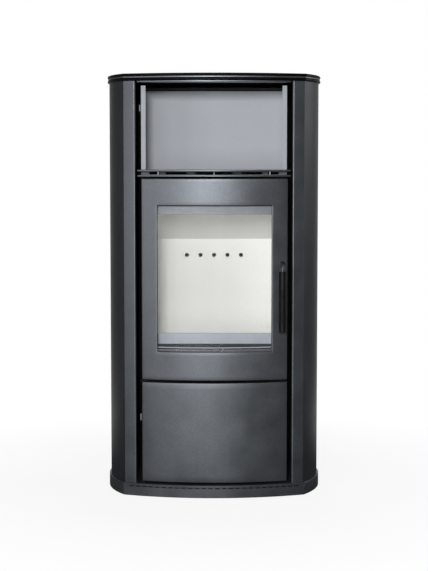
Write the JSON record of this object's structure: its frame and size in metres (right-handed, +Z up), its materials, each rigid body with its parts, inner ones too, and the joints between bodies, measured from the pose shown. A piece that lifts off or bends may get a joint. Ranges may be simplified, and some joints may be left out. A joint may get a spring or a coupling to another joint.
{
  "type": "steel wood stove",
  "caption": "Tall steel wood stove with a bowed front: log store door, glazed fire door with a hanging grip latch, open warming niche, beaded top and a rear flue spigot.",
  "frame": {"origin": "middle of the bounding box in plan, on the floor under the plinth", "axes": "+Z up, the doors face -Y, +X to the right of someone who looks at the front"},
  "size_m": [0.6, 0.454, 1.16],
  "materials": {
    "metallic_grey_paint": "dark grey metallic heat paint, satin",
    "pale_grey_paint": "mid grey metallic heat paint, satin",
    "black_stove_paint": "matt black heat paint",
    "heat_worn_steel": "plain steel, dulled by heat",
    "bright_steel": "bright turned steel",
    "vermiculite": "cream pressed vermiculite board, matt and flecked",
    "glass_fibre": "grey knitted glass fibre",
    "stove_glass": "clear heat-resistant glass ceramic",
    "black_grip": "black satin powder coat",
    "magnet": "black ferrite in a plain case"
  },
  "bodies": {
    "stove": {"plinth_front": "metallic_grey_paint", "plinth_left": "metallic_grey_paint", "plinth_right": "metallic_grey_paint", "plinth_rear": "metallic_grey_paint", "base_plate": "metallic_grey_paint", "left_column": "metallic_grey_paint", "right_column": "metallic_grey_paint", "left_side_panel": "metallic_grey_paint", "right_side_panel": "metallic_grey_paint", "rear_panel": "black_stove_paint", "top_plate_lower": "black_stove_paint", "top_spacer": "metallic_grey_paint", "top_plate_upper": "black_stove_paint", "niche_lintel": "metallic_grey_paint", "upper_shelf": "metallic_grey_paint", "lower_shelf": "metallic_grey_paint", "grille_strip": "metallic_grey_paint", "grille_ribs": "metallic_grey_paint", "niche_left_wall": "pale_grey_paint", "niche_right_wall": "pale_grey_paint", "niche_back": "pale_grey_paint", "stop_lugs": "bright_steel", "front_frame": "black_stove_paint", "body_left_side": "black_stove_paint", "body_right_side": "black_stove_paint", "firebox_back": "black_stove_paint", "firebox_floor": "black_stove_paint", "hinge_bracket": "black_stove_paint", "hinge_pins": "bright_steel", "hearth_brick": "vermiculite", "left_lining": "vermiculite", "right_lining": "vermiculite", "back_lining": "vermiculite", "baffle_board": "vermiculite", "hearth_sill": "black_stove_paint", "log_retainer": "heat_worn_steel", "air_wash_bar": "black_stove_paint", "flue_spigot": "black_stove_paint", "log_ceiling": "black_stove_paint", "air_runners": "black_stove_paint", "latch_keeper": "bright_steel", "keeper_roller": "bright_steel", "catch_magnet": "magnet"},
    "air_slide": {"air_slide": "black_stove_paint", "air_knob": "black_grip"},
    "fire_door": {"fire_door_panel": "metallic_grey_paint", "glass_gasket": "glass_fibre", "door_glass": "stove_glass", "glass_retainers": "heat_worn_steel", "glass_side_clips": "black_stove_paint", "door_backing": "black_stove_paint", "door_seal": "glass_fibre", "latch_bush": "bright_steel"},
    "latch": {"latch_rod": "bright_steel", "handle_grip": "black_grip", "latch_cam": "bright_steel", "latch_nut": "bright_steel"},
    "lower_door": {"lower_door_panel": "metallic_grey_paint", "catch_strike": "bright_steel"}
  },
  "joints": [
    {"name": "fire_door_hinge", "type": "hinge", "parent": "stove", "child": "fire_door", "pos_m": [-0.19303, -0.173, 0.6], "axis": [0, 0, -1], "range_deg": [0, 110]},
    {"name": "latch_turn", "type": "hinge", "parent": "fire_door", "child": "latch", "pos_m": [0.18643, -0.173, 0.641], "axis": [0, -1, 0], "range_deg": [0, 60]},
    {"name": "lower_door_hinge", "type": "hinge", "parent": "stove", "child": "lower_door", "pos_m": [-0.19303, -0.173, 0.18], "axis": [0, 0, -1], "range_deg": [0, 110]},
    {"name": "air_slide_travel", "type": "slide", "parent": "stove", "child": "air_slide", "axis": [1, 0, 0], "range_m": [0, 0.04]}
  ]
}
